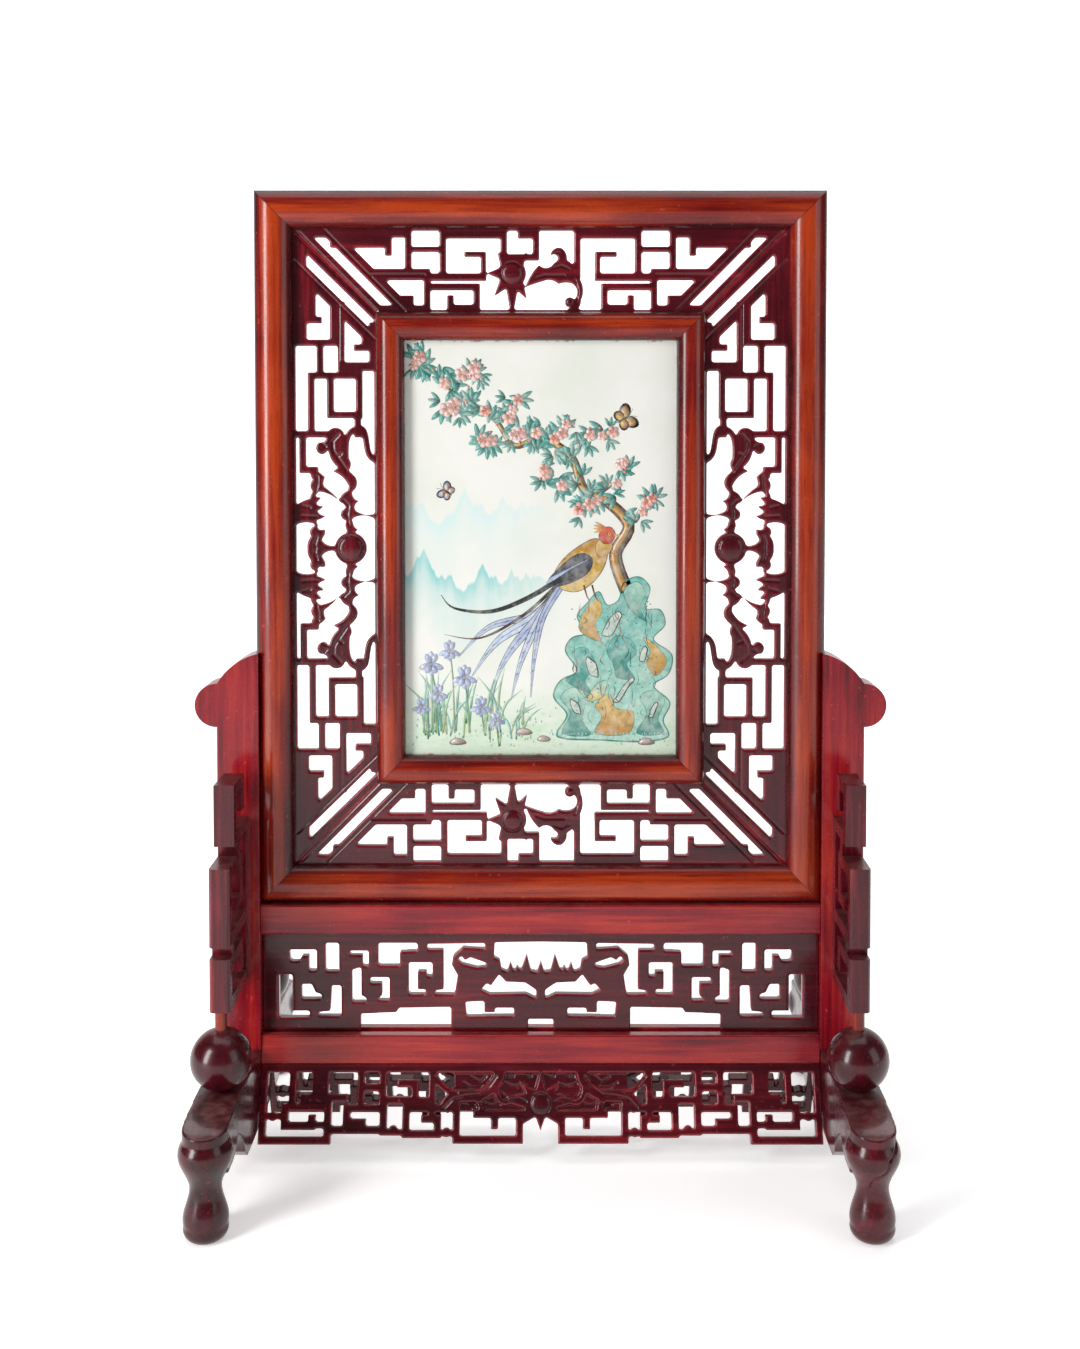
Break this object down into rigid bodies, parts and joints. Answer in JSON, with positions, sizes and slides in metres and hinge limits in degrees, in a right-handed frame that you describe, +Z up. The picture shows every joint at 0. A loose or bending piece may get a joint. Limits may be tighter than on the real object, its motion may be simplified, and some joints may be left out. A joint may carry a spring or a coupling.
{
  "type": "table screen",
  "caption": "Table screen with a painted porcelain plaque in a double frame of pierced key-fret hardwood, standing loose in a footed hardwood stand.",
  "frame": {"origin": "centre of the bounding box at the bottom, on the table top", "axes": "+Z up, -Y to the front, +X to the right seen from the front"},
  "size_m": [0.413, 0.2298, 0.5783],
  "materials": {
    "frame_wood": "polished red-stained hardwood",
    "fretwork_wood": "polished dark burgundy hardwood",
    "turned_wood": "polished dark red-brown hardwood",
    "backing_wood": "plain thin board",
    "porcelain": "white glaze painted in enamels"
  },
  "bodies": {
    "stand": {"apron_back": "fretwork_wood", "apron_front": "fretwork_wood", "ball_back_left": "turned_wood", "ball_back_right": "turned_wood", "ball_dowels": "turned_wood", "ball_front_left": "turned_wood", "ball_front_right": "turned_wood", "foot_left": "turned_wood", "foot_right": "turned_wood", "lower_rail": "frame_wood", "post_left": "frame_wood", "post_right": "frame_wood", "spandrel_back_left": "frame_wood", "spandrel_back_right": "frame_wood", "spandrel_front_left": "frame_wood", "spandrel_front_right": "frame_wood", "upper_rail": "frame_wood", "waist_panel": "fretwork_wood"},
    "screen": {"back_bead_bottom": "frame_wood", "back_bead_left": "frame_wood", "back_bead_right": "frame_wood", "back_bead_top": "frame_wood", "back_board": "backing_wood", "fret_bottom": "fretwork_wood", "fret_left": "fretwork_wood", "fret_right": "fretwork_wood", "fret_top": "fretwork_wood", "inner_rail_bottom": "frame_wood", "inner_rail_top": "frame_wood", "inner_stile_left": "frame_wood", "inner_stile_right": "frame_wood", "outer_rail_bottom": "frame_wood", "outer_rail_top": "frame_wood", "outer_stile_left": "frame_wood", "outer_stile_right": "frame_wood", "plaque": "porcelain"}
  },
  "joints": [
    {"name": "screen_lift", "type": "slide", "parent": "stand", "child": "screen", "axis": [0, 0, 1], "range_m": [0, 0.16]}
  ]
}
